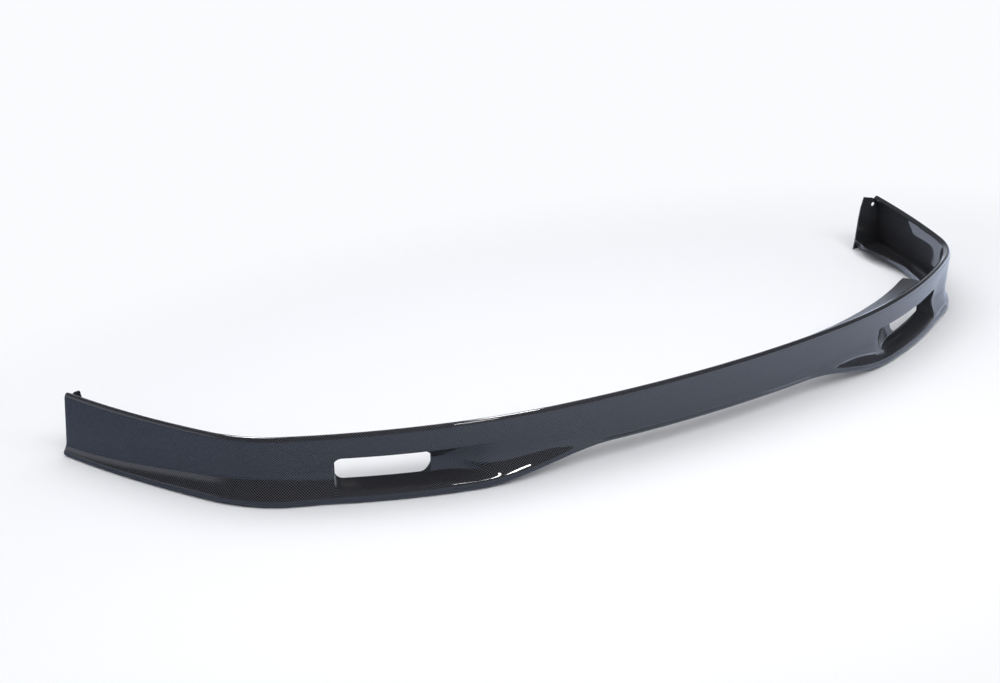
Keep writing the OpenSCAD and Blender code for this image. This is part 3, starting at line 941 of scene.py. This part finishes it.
def studio_floor():
    """Pale floor that keeps the shadow near the lip and runs out to plain white. In mirrored
    light it is blue, and grows paler from left to right."""
    bpy.ops.mesh.primitive_plane_add(size=FLOOR_SIZE)
    floor = bpy.context.object
    floor.name = "studio_floor"
    material = bpy.data.materials.new("pale_floor")
    material.use_nodes = True
    tree = material.node_tree
    rays = add_node(tree, "ShaderNodeLightPath").outputs
    place = add_node(tree, "ShaderNodeTexCoord").outputs["Object"]
    across = add_node(tree, "ShaderNodeSeparateXYZ", {0: place}).outputs["X"]
    mirrored = blend(tree, ramp(tree, across, *MIRRORED_FLOOR_RUN, "LINEAR"),
                     MIRRORED_FLOOR_LEFT, MIRRORED_FLOOR_RIGHT)
    glow = calculate(tree, "MULTIPLY", ramp(tree, across, *GLOW_RUN), rays["Is Glossy Ray"])
    near = tree.nodes["Principled BSDF"]
    feed(tree, near, {"Base Color": blend(tree, rays["Is Glossy Ray"], FLOOR_SHADE, mirrored),
                      "Roughness": 1.0, "Specular IOR Level": 0.0})
    far = add_node(tree, "ShaderNodeEmission", {
        "Color": blend(tree, rays["Is Glossy Ray"], FAR_FLOOR_SHADE, mirrored),
        "Strength": calculate(tree, "MULTIPLY_ADD", glow, GLOW_LIGHT, 1.0)})
    squashed = add_node(tree, "ShaderNodeVectorMath", {0: place, 1: SHADOW_SQUASH},
                        operation="MULTIPLY").outputs["Vector"]
    reach = add_node(tree, "ShaderNodeVectorMath", {0: squashed},
                     operation="LENGTH").outputs["Value"]
    seen = calculate(tree, "MAXIMUM", rays["Is Camera Ray"], rays["Is Glossy Ray"])
    farness = calculate(tree, "MULTIPLY", seen, ramp(tree, reach, *SHADOW_REACH))
    mixed = add_node(tree, "ShaderNodeMixShader", {
        0: farness, 1: near.outputs[0], 2: far.outputs[0]}).outputs[0]
    feed(tree, tree.nodes["Material Output"], {"Surface": mixed})
    floor.data.materials.append(material)


def soft_lamp(name, place, target, size, power, lights, mirrored):
    """Flat lamp; it may light surfaces, show in mirrored light, or both."""
    data = bpy.data.lights.new(name, "AREA")
    data.shape = "RECTANGLE"
    data.size, data.size_y = size
    data.energy = power
    lamp = new_object(name, data)
    lamp.location = place
    lamp.visible_diffuse = lights
    lamp.visible_glossy = mirrored
    lamp.rotation_euler = (Vector(target) - Vector(place)).to_track_quat("-Z", "Y").to_euler()


def ray_mix(tree, ray, plain, special):
    """Shader that is special for one kind of ray and plain for the others."""
    rays = add_node(tree, "ShaderNodeLightPath").outputs
    return add_node(tree, "ShaderNodeMixShader", {0: rays[ray], 1: plain, 2: special}).outputs[0]


def studio_world():
    """White for the camera, soft light on everything, and in mirrored light a pale back wall with a
    dark ceiling."""
    world = bpy.data.worlds.new("studio")
    bpy.context.scene.world = world
    world.use_nodes = True
    tree = world.node_tree
    tree.nodes.clear()
    way = add_node(tree, "ShaderNodeTexCoord").outputs["Generated"]
    parts = add_node(tree, "ShaderNodeSeparateXYZ", {0: way}).outputs
    wall = calculate(tree, "MULTIPLY", ramp(tree, parts["Y"], *BACK_WALL_ONSET),
                     ramp(tree, parts["Z"], *BACK_WALL_TOP))
    grey = calculate(tree, "MULTIPLY_ADD", wall, BACK_WALL_LIGHT, CEILING_LIGHT)
    shades = ((MIRRORED_SHADE, grey), (BACKDROP_SHADE, 1.0), (SKY_SHADE, SKY_LIGHT))
    mirrored, white, soft = [
        add_node(tree, "ShaderNodeBackground", {"Color": shade, "Strength": strength}).outputs[0]
        for shade, strength in shades]
    lit = ray_mix(tree, "Is Glossy Ray", soft, mirrored)
    add_node(tree, "ShaderNodeOutputWorld", {0: ray_mix(tree, "Is Camera Ray", lit, white)})


def studio_camera():
    """Camera at the place and with the roll and focal length that the photograph was solved for."""
    back = Vector((math.sin(VIEW_TURN) * math.cos(VIEW_RISE),
                   -math.cos(VIEW_TURN) * math.cos(VIEW_RISE), math.sin(VIEW_RISE)))
    level = Vector((math.cos(VIEW_TURN), math.sin(VIEW_TURN), 0))
    upright = back.cross(level)
    right = level * math.cos(VIEW_ROLL) + upright * math.sin(VIEW_ROLL)
    up = upright * math.cos(VIEW_ROLL) - level * math.sin(VIEW_ROLL)
    data = bpy.data.cameras.new("studio_camera")
    data.sensor_width = SENSOR
    data.lens = FOCAL_PIXELS / PICTURE_WIDTH * SENSOR
    camera = new_object("studio_camera", data)
    turn = Matrix((right, up, back)).transposed().to_4x4()
    target = Vector((VIEW_TARGET[0], VIEW_TARGET[1] - MID_Y, VIEW_TARGET[2]))
    camera.matrix_world = Matrix.Translation((target + back * VIEW_DISTANCE) * MM) @ turn
    bpy.context.scene.camera = camera


bpy.context.scene.view_settings.view_transform = "Standard"
studio_camera()
studio_world()
studio_floor()
for lamp in LAMPS:
    soft_lamp(*lamp)
lip = carbon_shell(carbon_material())
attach(lip, "root")
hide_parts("lip")
